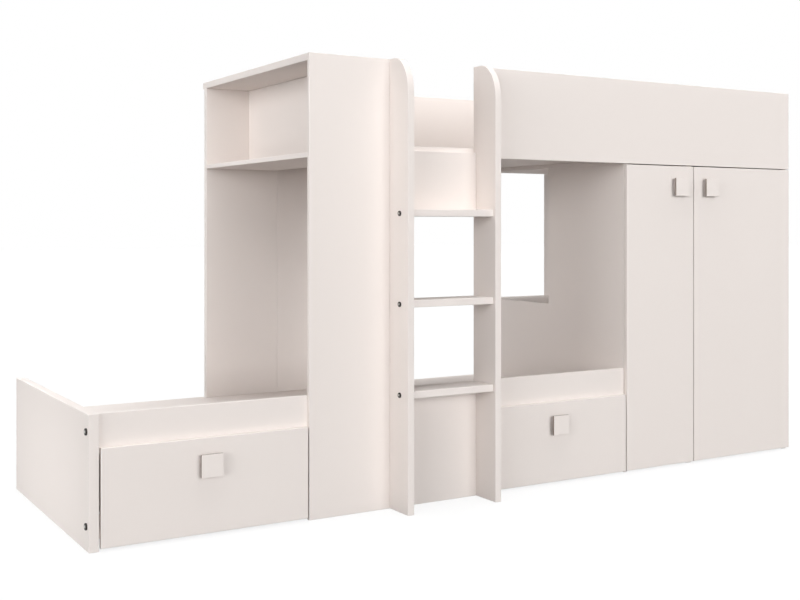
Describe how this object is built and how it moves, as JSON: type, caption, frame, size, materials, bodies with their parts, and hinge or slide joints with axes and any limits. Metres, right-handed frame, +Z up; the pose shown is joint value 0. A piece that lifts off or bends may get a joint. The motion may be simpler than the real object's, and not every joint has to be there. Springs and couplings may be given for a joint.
{
  "type": "loft bed",
  "caption": "White loft bed over a low bed, with a ladder, wardrobe with two doors, open niche, tall shelf unit and two drawers.",
  "frame": {"origin": "middle of the footprint's box, on the floor", "axes": "+X from the low end to the wardrobe end, -Y towards the front with the ladder, +Z up"},
  "size_m": [2.95, 1.071, 1.505],
  "materials": {
    "white_board": "satin white melamine board",
    "inner_board": "satin white melamine board",
    "handle": "satin white",
    "white_steel": "white powder coat",
    "nickel": "nickel plated"
  },
  "bodies": {
    "frame": {"end_panel_left": "white_board", "front_rail": "white_board", "lower_front_rail": "white_board", "rear_rail_left": "white_board", "rear_rail_right": "white_board", "partition_left": "inner_board", "partition_right": "inner_board", "lower_base_left": "white_board", "lower_base_middle": "white_board", "lower_base_right": "white_board", "tall_front_panel": "white_board", "tall_back_panel": "white_board", "rear_leg_panel": "white_board", "top_board": "white_board", "shelf_board": "white_board", "compartment_back": "white_board", "front_guard": "white_board", "rear_guard": "white_board", "end_panel_right": "white_board", "entry_board": "white_board", "kick_board": "white_board", "ladder_rail_left": "white_board", "ladder_rail_right": "white_board", "step_low": "white_board", "step_middle": "white_board", "step_high": "white_board", "upper_base_left": "white_board", "upper_base_right": "white_board", "upper_front_cleat": "inner_board", "upper_rear_cleat": "inner_board", "wardrobe_top": "white_board", "wardrobe_side": "white_board", "wardrobe_divider": "white_board", "niche_shelf": "white_board", "cupboard_back": "white_board", "cupboard_shelf": "inner_board", "cupboard_floor": "inner_board", "wardrobe_floor": "inner_board", "wardrobe_back": "inner_board", "hanging_rail": "nickel", "hinge_left_low": "nickel", "hinge_left_high": "nickel", "hinge_right_low": "nickel", "hinge_right_high": "nickel", "runner_left_a": "white_steel", "runner_left_b": "white_steel", "runner_right_a": "white_steel", "runner_right_b": "white_steel"},
    "door_left": {"door_left": "white_board", "door_left_handle": "handle"},
    "door_right": {"door_right": "white_board", "door_right_handle": "handle"},
    "drawer_left": {"drawer_left_front": "white_board", "drawer_left_box": "inner_board", "drawer_left_bottom": "inner_board", "drawer_left_handle": "handle"},
    "drawer_right": {"drawer_right_front": "white_board", "drawer_right_box": "inner_board", "drawer_right_bottom": "inner_board", "drawer_right_handle": "handle"}
  },
  "joints": [
    {"name": "door_left_hinge", "type": "hinge", "parent": "frame", "child": "door_left", "pos_m": [0.57, -0.419, 0.5945], "axis": [0, 0, -1], "range_deg": [0, 90]},
    {"name": "door_right_hinge", "type": "hinge", "parent": "frame", "child": "door_right", "pos_m": [1.473, -0.419, 0.5945], "axis": [0, 0, 1], "range_deg": [0, 100]},
    {"name": "drawer_left_slide", "type": "slide", "parent": "frame", "child": "drawer_left", "axis": [0, -1, 0], "range_m": [0, 0.4]},
    {"name": "drawer_right_slide", "type": "slide", "parent": "frame", "child": "drawer_right", "axis": [0, -1, 0], "range_m": [0, 0.4]}
  ]
}
